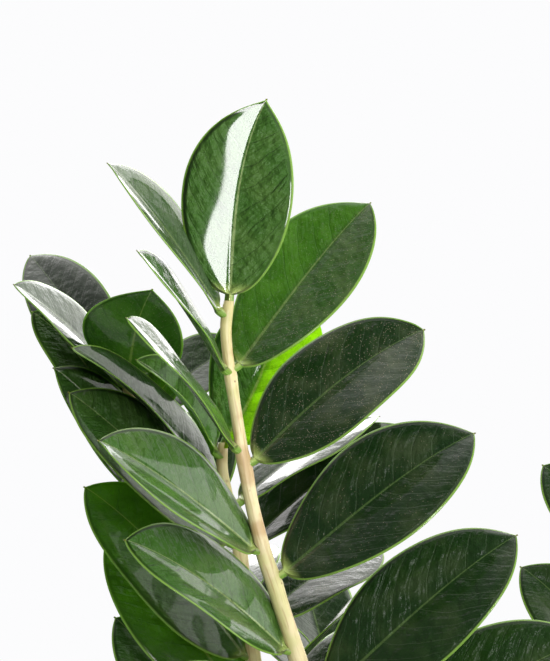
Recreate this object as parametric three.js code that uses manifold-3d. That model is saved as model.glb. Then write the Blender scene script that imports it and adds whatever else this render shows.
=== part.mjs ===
// A potted ZZ plant (Zamioculcas zamiifolia): a plain cachepot, its soil, and twelve fronds.
// Millimetres, +Z up. The origin is the centre of the pot's flat foot.
import * as THREE from 'three';
import Module from 'manifold-3d';
import { mergeVertices } from 'three/addons/utils/BufferGeometryUtils.js';

const wasm = await Module();
wasm.setup();

// Pot
const POT_HEIGHT = 150;
const POT_MOUTH_RADIUS = 88;
const POT_FOOT_RADIUS = 66;
const POT_WALL = 5;
const POT_FLOOR = 7;
const POT_EDGE = 2;
const POT_SIDES = 48;

// Soil
const SOIL_BELOW_RIM = 18;
const SOIL_CROWN = 5;
const SOIL_SHOULDER = { reach: 0.6, rise: 0.64 };
const SOIL_DEPTH_OF_STEMS = 22;

// Plant
const PLANT_HEIGHT = 510;
const DRAWN_HEIGHT = 510;
const STEM_FOOT_RADIUS = 8;
const STEM_TIP_RADIUS = 1.9;
const STEM_TAPER = 1.2;
const STEM_STEPS = 15;
const STEM_SIDES = 8;
const HALVINGS = 24;
const LEAFLET_THICKNESS = 1.1;
const PETIOLULE_LENGTH = 5;
const PETIOLULE_RADIUS = 1.6;
const LEAFLET_TIP = 0.25;
const BLADE_WIDEST = 0.52;
const BLADE_END = 0.985;
const BLADE_TIP_POWER = 0.72;
const BLADE_FOOT_POWER = 0.7;

// Gaps between touching pieces
const FIT = 0.3;

const grow = PLANT_HEIGHT / DRAWN_HEIGHT;
const soilLevel = POT_HEIGHT - SOIL_BELOW_RIM;
const up = new THREE.Vector3(0, 0, 1);
const vector = (values) => new THREE.Vector3(...values);

const finish = {
  pot: { color: '#e9e6df', roughness: 0.45 },
  soil: { color: '#3b2a1e', roughness: 1.0 },
  stem: { color: '#b9b77a', roughness: 0.5 },
  leaflet: { color: '#2f5f2b', roughness: 0.3 },
};

const object = new THREE.Group();

function addMesh(name, geometry, look) {
  const material = new THREE.MeshStandardMaterial({ ...finish[look], metalness: 0 });
  const mesh = new THREE.Mesh(geometry, material);
  mesh.name = name;
  object.add(mesh);
}

// --- Solids -------------------------------------------------------------------------------

/** A closed skin through a row of rings that turn anticlockwise about the way they run. */
function loft(rings) {
  const corners = rings[0].length;
  const index = [];
  for (let ring = 0; ring < rings.length - 1; ring += 1) {
    for (let corner = 0; corner < corners; corner += 1) {
      const a = ring * corners + corner;
      const b = ring * corners + ((corner + 1) % corners);
      index.push(a, b, b + corners, a, b + corners, a + corners);
    }
  }
  const last = (rings.length - 1) * corners;
  for (let corner = 1; corner < corners - 1; corner += 1) {
    index.push(0, corner + 1, corner);
    index.push(last, last + corner, last + corner + 1);
  }
  const geometry = new THREE.BufferGeometry();
  const values = rings.flat().flatMap((point) => [point.x, point.y, point.z]);
  geometry.setAttribute('position', new THREE.Float32BufferAttribute(values, 3));
  geometry.setIndex(index);
  return geometry;
}

/** A three.js geometry as a manifold solid. */
function solid(geometry) {
  const bare = geometry.clone();
  bare.deleteAttribute('normal');
  bare.deleteAttribute('uv');
  const merged = mergeVertices(bare, 1e-4);
  return new wasm.Manifold(new wasm.Mesh({
    numProp: 3,
    vertProperties: new Float32Array(merged.attributes.position.array),
    triVerts: new Uint32Array(merged.index.array),
  }));
}

/** A manifold solid as a three.js geometry. */
function geometryOf(manifold) {
  const mesh = manifold.getMesh();
  const geometry = new THREE.BufferGeometry();
  geometry.setAttribute('position', new THREE.BufferAttribute(mesh.vertProperties, 3));
  geometry.setIndex(new THREE.BufferAttribute(mesh.triVerts, 1));
  return geometry;
}

// --- Stems --------------------------------------------------------------------------------

/** A stem's course: a smooth curve through its points, which are given from the soil up. */
function stemCurve(points) {
  const places = points.map((point) => vector(point).multiplyScalar(grow));
  const foot = places[0].clone().addScaledVector(
    places[0].clone().sub(places[1]).normalize(),
    SOIL_DEPTH_OF_STEMS,
  );
  return new THREE.CatmullRomCurve3([foot, ...places]);
}

function stemRadius(share) {
  return STEM_TIP_RADIUS + (STEM_FOOT_RADIUS - STEM_TIP_RADIUS) * (1 - share) ** STEM_TAPER;
}

/** The share of the stem's length at which it reaches a height above the soil. */
function shareAtHeight(curve, height) {
  let low = 0;
  let high = 1;
  for (let halving = 0; halving < HALVINGS; halving += 1) {
    const middle = (low + high) / 2;
    if (curve.getPointAt(middle).z < height) {
      low = middle;
    } else {
      high = middle;
    }
  }
  return (low + high) / 2;
}

/** The stem as a round tapered solid, or the hole it stands in when it is grown by a gap. */
function stemGeometry(curve, gap = 0) {
  const rings = [];
  for (let step = 0; step <= STEM_STEPS; step += 1) {
    const share = step / STEM_STEPS;
    const centre = curve.getPointAt(share);
    const along = curve.getTangentAt(share);
    if (step === 0) {
      centre.addScaledVector(along, -gap);
    }
    const across = new THREE.Vector3(1, 0, 0).addScaledVector(along, -along.x).normalize();
    const over = along.clone().cross(across);
    const radius = stemRadius(share) + gap;
    const ring = [];
    for (let side = 0; side < STEM_SIDES; side += 1) {
      const angle = (2 * Math.PI * side) / STEM_SIDES;
      ring.push(
        centre.clone()
          .addScaledVector(across, radius * Math.cos(angle))
          .addScaledVector(over, radius * Math.sin(angle)),
      );
    }
    rings.push(ring);
  }
  return loft(rings);
}

// --- Leaflets -----------------------------------------------------------------------------

/** Half of the blade's width, as a share of its widest: full shoulders and a short drawn tip. */
function bladeShare(place) {
  const towardsTip = place > BLADE_WIDEST;
  const span = towardsTip ? BLADE_END - BLADE_WIDEST : BLADE_WIDEST;
  const round = Math.max(0, 1 - ((place - BLADE_WIDEST) / span) ** 2);
  return round ** (towardsTip ? BLADE_TIP_POWER : BLADE_FOOT_POWER);
}

/**
 * A leaflet: a short stalk and a folded blade along an arched midrib.
 * reach: from its foot to its tip. width: of the blade. tilt: 0 faces up, 90 faces the front.
 * fold: how far each half is raised, in degrees. arch: rise of the midrib's middle towards the
 * upper side. sweep: bow of the midrib in the blade's own plane. stalk: length below the blade.
 */
function leafletGeometry(seat, leaf, faces, places) {
  const foot = seat.place;
  const reach = vector(leaf.reach).multiplyScalar(grow);
  const along = reach.clone().normalize();
  const tilt = THREE.MathUtils.degToRad(leaf.tilt);
  const outlook = faces.clone().multiplyScalar(Math.sin(tilt)).addScaledVector(up, Math.cos(tilt));
  const upper = outlook.addScaledVector(along, -outlook.dot(along)).normalize();
  const across = along.clone().cross(upper);
  const middle = foot.clone()
    .addScaledVector(reach, 0.5)
    .addScaledVector(upper, 2 * (leaf.arch ?? 0) * grow)
    .addScaledVector(across, 2 * (leaf.sweep ?? 0) * grow);
  const midrib = new THREE.QuadraticBezierCurve3(foot, middle, foot.clone().add(reach));
  const stalk = ((leaf.stalk ?? PETIOLULE_LENGTH) * grow) / reach.length();
  const rise = Math.tan(THREE.MathUtils.degToRad(leaf.fold ?? 10));

  const ringAt = (share, halfWidth, halfThickness, lift, tangent = midrib.getTangent(share)) => {
    const centre = midrib.getPoint(share);
    const normal = upper.clone().addScaledVector(tangent, -upper.dot(tangent)).normalize();
    const side = tangent.clone().cross(normal);
    const edge = centre.clone().addScaledVector(normal, lift);
    return [
      centre.clone().addScaledVector(normal, halfThickness),
      edge.clone().addScaledVector(side, halfWidth),
      centre.clone().addScaledVector(normal, -halfThickness),
      edge.clone().addScaledVector(side, -halfWidth),
    ];
  };

  const rings = [
    ringAt(0, PETIOLULE_RADIUS, PETIOLULE_RADIUS, 0, seat.outward),
    ringAt(stalk, PETIOLULE_RADIUS, PETIOLULE_RADIUS, 0),
  ];
  for (const place of places) {
    const share = stalk + (1 - stalk) * place;
    const halfWidth = Math.max(LEAFLET_TIP, (leaf.width / 2) * grow * bladeShare(place));
    rings.push(ringAt(share, halfWidth, LEAFLET_THICKNESS / 2, halfWidth * rise));
  }
  rings.push(ringAt(1, LEAFLET_TIP, LEAFLET_TIP, 0));
  return loft(rings);
}

// Where a blade has a ring, as shares of its length
const FINE = [0.04, 0.12, 0.25, 0.4, 0.55, 0.7, 0.82, 0.91, 0.965];
const COARSE = [0.07, 0.25, 0.52, 0.78, 0.94];

/** The middle of the stem's solid, which runs straight from each ring to the next. */
function stemCentre(curve, share) {
  const step = Math.min(Math.floor(share * STEM_STEPS), STEM_STEPS - 1);
  const below = curve.getPointAt(step / STEM_STEPS);
  const above = curve.getPointAt((step + 1) / STEM_STEPS);
  return below.lerp(above, share * STEM_STEPS - step);
}

/** Where a leaflet's stalk meets the skin of its stem, and the way out of the stem there. */
function seatOnStem(curve, leaf, gap) {
  if (leaf.at === undefined) {
    const outward = curve.getTangentAt(1);
    return { place: curve.getPointAt(1).addScaledVector(outward, gap), outward };
  }
  const share = shareAtHeight(curve, leaf.at * grow);
  const along = curve.getTangentAt(share);
  const reach = vector(leaf.reach);
  const outward = reach.addScaledVector(along, -reach.dot(along)).normalize();
  const place = stemCentre(curve, share).addScaledVector(outward, stemRadius(share) + gap);
  return { place, outward };
}

// --- Fronds drawn leaflet by leaflet --------------------------------------------------------
// Points and reaches run [right, back, up]. at: the height above the soil where it is seated.

const FRONT = [0, -1, 0];

const detailedFronds = {
  a: {
    stem: [[2, -22, 0], [-12, -27, 68], [-48, -36, 188], [-85, -45, 299], [-101, -49, 351],
      [-108, -50, 389], [-112, -50, 420], [-111, -50, 433]],
    leaflets: {
      tip: { reach: [14, 4, 75], width: 41, tilt: 85, fold: 9, sweep: -2 },
      left_1: { at: 427, reach: [-42, -18, 56], width: 31, tilt: 24, fold: 14, arch: 2 },
      left_2: { at: 406, reach: [-32, -34, 45], width: 26, tilt: 31, fold: 10, arch: 2 },
      left_3: { at: 377, reach: [-40, -32, 50], width: 28, tilt: 26, fold: 8, arch: 2 },
      left_4: { at: 340, reach: [-58, -28, 43], width: 36, tilt: 40, fold: 14, arch: 3 },
      left_5: { at: 303, reach: [-60, -27, 44], width: 38, tilt: 40, fold: 12, arch: 4 },
      left_6: { at: 258, reach: [-66, -24, 36], width: 42, tilt: 40, arch: 5 },
      left_7: { at: 212, reach: [-66, -26, 32], width: 42, tilt: 36, arch: 5 },
      left_8: { at: 168, reach: [-58, -24, 28], width: 38, tilt: 34, arch: 5 },
      right_1: { at: 407, reach: [51, 24, 63], width: 40, tilt: 50, fold: 8, arch: 1, stalk: 7 },
      right_2: { at: 372, reach: [65, 12, 50], width: 42, tilt: 50, fold: 8, arch: 4, sweep: -1 },
      right_3: { at: 330, reach: [73, 6, 53], width: 45, tilt: 52, fold: 8, arch: 4, sweep: 1 },
      right_4: { at: 284, reach: [73, 0, 61], width: 45, tilt: 54, fold: 8, arch: 4, sweep: 1 },
      right_5: { at: 250, reach: [88, -8, 57], width: 46, tilt: 52, arch: 5 },
      right_6: { at: 193, reach: [76, 2, 42], width: 44, tilt: 50, arch: 6 },
      right_7: { at: 146, reach: [64, 4, 32], width: 38, tilt: 46, arch: 5 },
    },
  },
  b: {
    stem: [[-45, 5, 0], [-58, 4, 68], [-84, 2, 188], [-102, 0, 295], [-108, 0, 341],
      [-114, 0, 368], [-114, 0, 379]],
    leaflets: {
      tip: { reach: [28, 6, 60], width: 43, tilt: 82, fold: 6, sweep: 4 },
      left_1: { at: 373, reach: [-31, -16, 38], width: 20, tilt: 30, fold: 34, arch: 3 },
      left_2: { at: 361, reach: [-57, -12, 55], width: 30, tilt: 18, fold: 22, arch: 3 },
      left_3: { at: 339, reach: [-63, -12, 60], width: 37, tilt: 42, fold: 10, arch: 2, stalk: 8 },
      left_4: { at: 296, reach: [-62, -12, 67], width: 40, tilt: 52, fold: 8, arch: 5, stalk: 9 },
      left_5: { at: 272, reach: [-58, 0, 70], width: 40, tilt: 50, fold: 8, arch: 4, stalk: 9 },
      left_6: { at: 236, reach: [-60, 6, 76], width: 40, tilt: 48, arch: 5, stalk: 9 },
      left_7: { at: 182, reach: [-62, 4, 52], width: 40, tilt: 46, arch: 5 },
      right_1: { at: 354, reach: [56, 22, 34], width: 32, tilt: 18, arch: 4 },
      right_2: { at: 338, reach: [62, 16, 46], width: 38, tilt: 26, arch: 4 },
      right_3: { at: 309, reach: [50, 34, 26], width: 34, tilt: 34, arch: 4 },
      right_4: { at: 281, reach: [55, -9, 57], width: 28, tilt: 3, fold: 2, arch: 2 },
      right_5: { at: 262, reach: [56, 30, 44], width: 38, tilt: 22, arch: 4 },
      right_6: { at: 216, reach: [62, 22, 40], width: 42, tilt: 36, arch: 5 },
    },
  },
  c: {
    stem: [[-30, 30, 0], [-50, 32, 68], [-95, 32, 188], [-130, 32, 298], [-146, 31, 373],
      [-151, 30, 396], [-152, 30, 405]],
    leaflets: {
      tip: { reach: [11, -30, 33], width: 40, tilt: 96, fold: 6, arch: 4 },
      left_1: { at: 395, reach: [-43, 62, 58], width: 31, tilt: 84, fold: 8, arch: 3, stalk: 7 },
      left_2: { at: 400, reach: [-42, -22, 40], width: 30, tilt: 30, fold: 12, arch: 2 },
      left_3: { at: 380, reach: [-40, -3, 50], width: 27, tilt: 44, fold: 8, arch: 3, stalk: 8 },
      left_4: { at: 354, reach: [-36, -20, 54], width: 26, tilt: 46, fold: 8, arch: 3, sweep: 3, stalk: 8 },
      left_5: { at: 320, reach: [-20, 62, 36], width: 40, tilt: 20, arch: 5 },
      right_1: { at: 390, reach: [42, 12, 27], width: 32, tilt: 38, fold: 6, stalk: 9 },
      right_2: { at: 382, reach: [18, -21, 25], width: 22, tilt: 50, arch: 2 },
      right_3: { at: 340, reach: [22, 22, 50], width: 34, tilt: 80, arch: 3 },
      right_4: { at: 300, reach: [32, 56, 34], width: 40, tilt: 20, arch: 5 },
      right_5: { at: 255, reach: [30, 58, 28], width: 40, tilt: 20, arch: 5 },
    },
  },
};

const stems = [];

for (const [letter, frond] of Object.entries(detailedFronds)) {
  const curve = stemCurve(frond.stem);
  stems.push(curve);
  addMesh(`frond_${letter}_stem`, stemGeometry(curve), 'stem');
  for (const [place, leaf] of Object.entries(frond.leaflets)) {
    const seat = seatOnStem(curve, leaf, FIT);
    const geometry = leafletGeometry(seat, leaf, vector(FRONT), FINE);
    addMesh(`frond_${letter}_leaflet_${place}`, geometry, 'leaflet');
  }
}

// --- Fronds that repeat one pattern -----------------------------------------------------------
// faces: the way the upper sides look. first, last: heights of the lowest and highest leaflets.

// Angles in degrees; lengths and widths as shares of the frond's longest leaflet.
const LEAFLET_ANGLE = 48;
const LEAFLET_DIP = 12;
const LEAFLET_ASPECT = 0.5;
const LEAFLET_TILT = 45;
const LEAFLET_ARCH = 5;
const LOWEST_LENGTH = 0.84;
const MIDDLE_SWELL = 0.5;
const TOP_LOSS = 0.12;
const TIP_LEAFLET = { length: 0.9, width: 0.46, tilt: 80, arch: 3 };

const patternFronds = {
  d: {
    stem: [[48, 18, 0], [52, 24, 90], [55, 38, 200], [60, 52, 300], [76, 62, 400]],
    faces: [-0.25, -1, 0.3],
    first: 168,
    last: 384,
    pairs: 6,
    longest: 84,
  },
  e: {
    stem: [[34, -30, 0], [58, -48, 80], [92, -78, 170], [126, -108, 240], [150, -130, 280]],
    faces: [-0.7, 0.55, 0.7],
    first: 92,
    last: 268,
    pairs: 5,
    longest: 80,
  },
  f: {
    stem: [[-24, -38, 0], [-50, -62, 70], [-92, -94, 150], [-130, -120, 205], [-156, -136, 232]],
    faces: [0.7, 0.5, 0.75],
    first: 82,
    last: 222,
    pairs: 4,
    longest: 76,
  },
  g: {
    stem: [[-12, 48, 0], [-28, 78, 80], [-48, 120, 170], [-62, 156, 236], [-70, 178, 268]],
    faces: [0.3, -0.75, 0.6],
    first: 92,
    last: 256,
    pairs: 5,
    longest: 80,
  },
  h: {
    stem: [[28, 44, 0], [50, 70, 90], [84, 104, 190], [112, 132, 270], [130, 150, 312]],
    faces: [-0.6, -0.65, 0.6],
    first: 110,
    last: 298,
    pairs: 5,
    longest: 82,
  },
  i: {
    stem: [[8, -52, 0], [16, -80, 60], [28, -116, 128], [38, -144, 172], [44, -160, 194]],
    faces: [-0.15, 0.8, 0.7],
    first: 66,
    last: 184,
    pairs: 4,
    longest: 72,
  },
  j: {
    stem: [[10, 6, 0], [18, 10, 70], [26, 14, 140], [30, 18, 206]],
    faces: [-0.4, -1, 0.3],
    first: 96,
    last: 194,
    pairs: 3,
    longest: 70,
  },
  k: {
    stem: [[-42, -17, 0], [-76, -31, 60], [-116, -48, 112], [-146, -60, 142]],
    faces: [0.75, 0.2, 0.8],
    first: 58,
    last: 132,
    pairs: 3,
    longest: 66,
  },
  l: {
    stem: [[45, -6, 0], [77, -10, 70], [118, -14, 138], [146, -16, 178]],
    faces: [-0.75, 0.1, 0.8],
    first: 70,
    last: 166,
    pairs: 4,
    longest: 72,
  },
};

/** The leaflets of a frond: pairs that grow longer, then shorter, and one at the tip. */
function patternLeaflets(frond, curve) {
  const faces = vector(frond.faces).normalize();
  const angle = THREE.MathUtils.degToRad(LEAFLET_ANGLE);
  const dip = THREE.MathUtils.degToRad(LEAFLET_DIP);
  const spacing = (frond.last - frond.first) / (frond.pairs - 0.5);
  const leaflets = [];
  for (let index = 0; index < 2 * frond.pairs; index += 1) {
    const hand = index % 2 === 0 ? 1 : -1;
    const at = frond.first + (index * spacing) / 2;
    const share = index / (2 * frond.pairs - 1);
    const along = curve.getTangentAt(shareAtHeight(curve, at * grow));
    const side = along.clone().cross(faces).normalize().multiplyScalar(hand);
    const swell = MIDDLE_SWELL * share * (1 - share);
    const length = frond.longest * (LOWEST_LENGTH + swell - TOP_LOSS * share);
    const reach = side.multiplyScalar(Math.cos(angle))
      .addScaledVector(along, Math.sin(angle))
      .addScaledVector(faces, Math.sin(dip))
      .multiplyScalar(length);
    const width = length * LEAFLET_ASPECT;
    leaflets.push({ at, reach: reach.toArray(), width, tilt: LEAFLET_TILT, arch: LEAFLET_ARCH });
  }
  const tip = curve.getTangentAt(1).multiplyScalar(frond.longest * TIP_LEAFLET.length);
  const width = frond.longest * TIP_LEAFLET.width;
  leaflets.push({ ...TIP_LEAFLET, reach: tip.toArray(), width });
  return leaflets;
}

for (const [letter, frond] of Object.entries(patternFronds)) {
  const curve = stemCurve(frond.stem);
  stems.push(curve);
  let whole = solid(stemGeometry(curve));
  for (const leaf of patternLeaflets(frond, curve)) {
    const seat = seatOnStem(curve, leaf, -PETIOLULE_RADIUS / 2);
    whole = whole.add(solid(leafletGeometry(seat, leaf, vector(frond.faces), COARSE)));
  }
  addMesh(`frond_${letter}`, geometryOf(whole), 'leaflet');
}

// --- Pot and soil -----------------------------------------------------------------------------

/** The pot's outer radius at a height. */
function potRadius(height) {
  return POT_FOOT_RADIUS + (POT_MOUTH_RADIUS - POT_FOOT_RADIUS) * (height / POT_HEIGHT);
}

const point2 = (radius, height) => new THREE.Vector2(radius, height);
const inside = (height) => potRadius(height) - POT_WALL;

const potProfile = [
  point2(0, 0),
  point2(POT_FOOT_RADIUS - POT_EDGE, 0),
  point2(potRadius(POT_EDGE), POT_EDGE),
  point2(potRadius(POT_HEIGHT - POT_EDGE), POT_HEIGHT - POT_EDGE),
  point2(POT_MOUTH_RADIUS - POT_EDGE, POT_HEIGHT),
  point2(POT_MOUTH_RADIUS - POT_WALL + POT_EDGE / 2, POT_HEIGHT),
  point2(inside(POT_HEIGHT - POT_EDGE), POT_HEIGHT - POT_EDGE),
  point2(inside(POT_FLOOR), POT_FLOOR),
  point2(0, POT_FLOOR),
];

const turned = (profile) => new THREE.LatheGeometry(profile, POT_SIDES).rotateX(Math.PI / 2);

addMesh('pot', turned(potProfile), 'pot');

const soilFoot = POT_FLOOR + FIT;
const soilProfile = [
  point2(0, soilFoot),
  point2(inside(soilFoot) - FIT, soilFoot),
  point2(inside(soilLevel) - FIT, soilLevel),
  point2(inside(soilLevel) * SOIL_SHOULDER.reach, soilLevel + SOIL_CROWN * SOIL_SHOULDER.rise),
  point2(0, soilLevel + SOIL_CROWN),
];

let soil = solid(turned(soilProfile));
for (const curve of stems) {
  const socket = stemGeometry(curve, FIT).translate(0, 0, soilLevel);
  soil = soil.subtract(solid(socket));
}

for (const mesh of object.children) {
  if (mesh.name.startsWith('frond')) {
    mesh.position.z = soilLevel;
  }
}

addMesh('soil', geometryOf(soil), 'soil');

export default object;
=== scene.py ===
"""A potted ZZ plant: glossy pinnate fronds on fleshy stems, dark soil and a plain glazed pot."""
import math

import bmesh
import bpy
import numpy as np
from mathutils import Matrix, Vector


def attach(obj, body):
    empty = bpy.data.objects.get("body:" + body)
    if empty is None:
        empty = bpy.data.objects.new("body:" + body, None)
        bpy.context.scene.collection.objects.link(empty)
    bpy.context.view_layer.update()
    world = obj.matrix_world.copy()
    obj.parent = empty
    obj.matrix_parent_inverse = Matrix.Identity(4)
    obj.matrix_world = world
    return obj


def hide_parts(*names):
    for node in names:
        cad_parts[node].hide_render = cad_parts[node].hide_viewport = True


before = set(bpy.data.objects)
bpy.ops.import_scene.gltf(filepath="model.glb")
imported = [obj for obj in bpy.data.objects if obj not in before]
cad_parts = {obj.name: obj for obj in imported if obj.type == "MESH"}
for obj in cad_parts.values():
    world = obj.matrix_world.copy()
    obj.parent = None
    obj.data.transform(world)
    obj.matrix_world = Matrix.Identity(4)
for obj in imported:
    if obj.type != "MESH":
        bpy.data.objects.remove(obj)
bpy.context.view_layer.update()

MM = 0.001
chance = np.random.default_rng(7)

# ------------------------------------------------------------------------------------------
# Sizes, in millimetres and degrees
# ------------------------------------------------------------------------------------------
POT_HEIGHT = 150.0
POT_MOUTH_RADIUS = 88.0
POT_FOOT_RADIUS = 66.0
POT_WALL = 5.0
POT_FLOOR = 7.0
POT_RIM_BEVEL = 1.9
POT_SIDES = 128
SOIL_LEVEL = 132.0
SOIL_CROWN = 5.0
SOIL_DEPTH = 18.0
SOIL_RINGS = 24
CRUMBS = 620

STEM_FOOT_RADIUS = 8.0
STEM_TIP_RADIUS = 1.9
STEM_TAPER = 1.2
STEM_DEPTH = 22.0
STEM_SIDES = 28
STEM_RINGS = 220
SWELLING = 0.6
SCAR_RIDGE = 0.22

BLADE_THICKNESS = 0.95
MARGIN_THICKNESS = 0.45
BLADE_WIDEST = 0.52
STALK_LENGTH = 2.4
STALK_RADIUS = 1.7
TIP_HALF_WIDTH = 0.22
KEEL_DEPTH = 0.9
GROOVE_DEPTH = 0.3
VEIN_SPACING = 9.0
FINE_GRID = (76, 24)
PLAIN_GRID = (34, 12)

# ------------------------------------------------------------------------------------------
# The fronds. Points and reaches run [right, back, up] from the soil up.
# at: height of the leaflet's seat on the stem. tilt: 0 faces up, 90 faces the front.
# fold: how far each half is raised. arch: rise of the midrib's middle towards the upper side.
# sweep: bow of the midrib in the blade's own plane.
# ------------------------------------------------------------------------------------------
DRAWN_FRONDS = {
  "a": {
    "stem": [[2, -22, 0], [-12, -27, 68], [-48, -36, 188], [-85, -45, 299], [-101, -49, 351],
      [-108, -50, 389], [-112, -50, 420], [-111, -50, 433]],
    "leaflets": {
      "tip": { "reach": [14, 4, 75], "width": 41, "tilt": 85, "fold": 9, "sweep": -2 },
      "left_1": { "at": 427, "reach": [-42, -18, 56], "width": 31, "tilt": 24, "fold": 14,
        "arch": 2 },
      "left_2": { "at": 406, "reach": [-32, -34, 45], "width": 26, "tilt": 31, "fold": 10,
        "arch": 2 },
      "left_3": { "at": 377, "reach": [-40, -32, 50], "width": 28, "tilt": 26, "fold": 8,
        "arch": 2 },
      "left_4": { "at": 340, "reach": [-58, -28, 43], "width": 36, "tilt": 40, "fold": 14,
        "arch": 3 },
      "left_5": { "at": 303, "reach": [-60, -27, 44], "width": 38, "tilt": 40, "fold": 12,
        "arch": 4 },
      "left_6": { "at": 258, "reach": [-66, -24, 36], "width": 42, "tilt": 40, "arch": 5 },
      "left_7": { "at": 212, "reach": [-66, -26, 32], "width": 42, "tilt": 36, "arch": 5 },
      "left_8": { "at": 168, "reach": [-58, -24, 28], "width": 38, "tilt": 34, "arch": 5 },
      "right_1": { "at": 407, "reach": [51, 24, 63], "width": 40, "tilt": 50, "fold": 8,
        "arch": 1 },
      "right_2": { "at": 372, "reach": [65, 12, 50], "width": 42, "tilt": 50, "fold": 8,
        "arch": 4, "sweep": -1 },
      "right_3": { "at": 330, "reach": [73, 6, 53], "width": 45, "tilt": 52, "fold": 8,
        "arch": 4, "sweep": 1 },
      "right_4": { "at": 284, "reach": [73, 0, 61], "width": 45, "tilt": 54, "fold": 8,
        "arch": 4, "sweep": 1 },
      "right_5": { "at": 250, "reach": [88, -8, 57], "width": 46, "tilt": 52, "arch": 5 },
      "right_6": { "at": 193, "reach": [76, 2, 42], "width": 44, "tilt": 50, "arch": 6 },
      "right_7": { "at": 146, "reach": [64, 4, 32], "width": 38, "tilt": 46, "arch": 5 },
    },
  },
  "b": {
    "stem": [[-45, 5, 0], [-58, 4, 68], [-84, 2, 188], [-102, 0, 295], [-108, 0, 341],
      [-114, 0, 368], [-114, 0, 379]],
    "leaflets": {
      "tip": { "reach": [28, 6, 60], "width": 43, "tilt": 82, "fold": 6, "sweep": 4 },
      "left_1": { "at": 373, "reach": [-31, -16, 38], "width": 20, "tilt": 30, "fold": 34,
        "arch": 3 },
      "left_2": { "at": 361, "reach": [-57, -12, 55], "width": 30, "tilt": 18, "fold": 22,
        "arch": 3 },
      "left_3": { "at": 339, "reach": [-63, -12, 60], "width": 37, "tilt": 42, "fold": 10,
        "arch": 2 },
      "left_4": { "at": 296, "reach": [-62, -12, 67], "width": 40, "tilt": 52, "fold": 8,
        "arch": 5 },
      "left_5": { "at": 272, "reach": [-58, 0, 70], "width": 40, "tilt": 50, "fold": 8,
        "arch": 4 },
      "left_6": { "at": 236, "reach": [-60, 6, 76], "width": 40, "tilt": 48, "arch": 5 },
      "left_7": { "at": 182, "reach": [-62, 4, 52], "width": 40, "tilt": 46, "arch": 5 },
      "right_1": { "at": 354, "reach": [56, 22, 34], "width": 32, "tilt": 18, "arch": 4 },
      "right_2": { "at": 338, "reach": [62, 16, 46], "width": 38, "tilt": 26, "arch": 4 },
      "right_3": { "at": 309, "reach": [50, 34, 26], "width": 34, "tilt": 34, "arch": 4 },
      "right_4": { "at": 281, "reach": [55, -9, 57], "width": 28, "tilt": 3, "fold": 2, "arch": 2 },
      "right_5": { "at": 262, "reach": [56, 30, 44], "width": 38, "tilt": 22, "arch": 4 },
      "right_6": { "at": 216, "reach": [62, 22, 40], "width": 42, "tilt": 36, "arch": 5 },
    },
  },
  "c": {
    "stem": [[-30, 30, 0], [-50, 32, 68], [-95, 32, 188], [-130, 32, 298], [-146, 31, 373],
      [-151, 30, 396], [-152, 30, 405]],
    "leaflets": {
      "tip": { "reach": [11, -30, 33], "width": 40, "tilt": 96, "fold": 6, "arch": 4 },
      "left_1": { "at": 395, "reach": [-43, 62, 58], "width": 31, "tilt": 84, "fold": 8,
        "arch": 3 },
      "left_2": { "at": 400, "reach": [-42, -22, 40], "width": 30, "tilt": 30, "fold": 12,
        "arch": 2 },
      "left_3": { "at": 380, "reach": [-40, -3, 50], "width": 27, "tilt": 44, "fold": 8,
        "arch": 3 },
      "left_4": { "at": 354, "reach": [-36, -20, 54], "width": 26, "tilt": 46, "fold": 8,
        "arch": 3, "sweep": 3 },
      "left_5": { "at": 320, "reach": [-20, 62, 36], "width": 40, "tilt": 20, "arch": 5 },
      "right_1": { "at": 390, "reach": [42, 12, 27], "width": 32, "tilt": 38, "fold": 6 },
      "right_2": { "at": 382, "reach": [18, -21, 25], "width": 22, "tilt": 50, "arch": 2 },
      "right_3": { "at": 340, "reach": [22, 22, 50], "width": 34, "tilt": 80, "arch": 3 },
      "right_4": { "at": 300, "reach": [32, 56, 34], "width": 40, "tilt": 20, "arch": 5 },
      "right_5": { "at": 255, "reach": [30, 58, 28], "width": 40, "tilt": 20, "arch": 5 },
    },
  },
}

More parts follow.
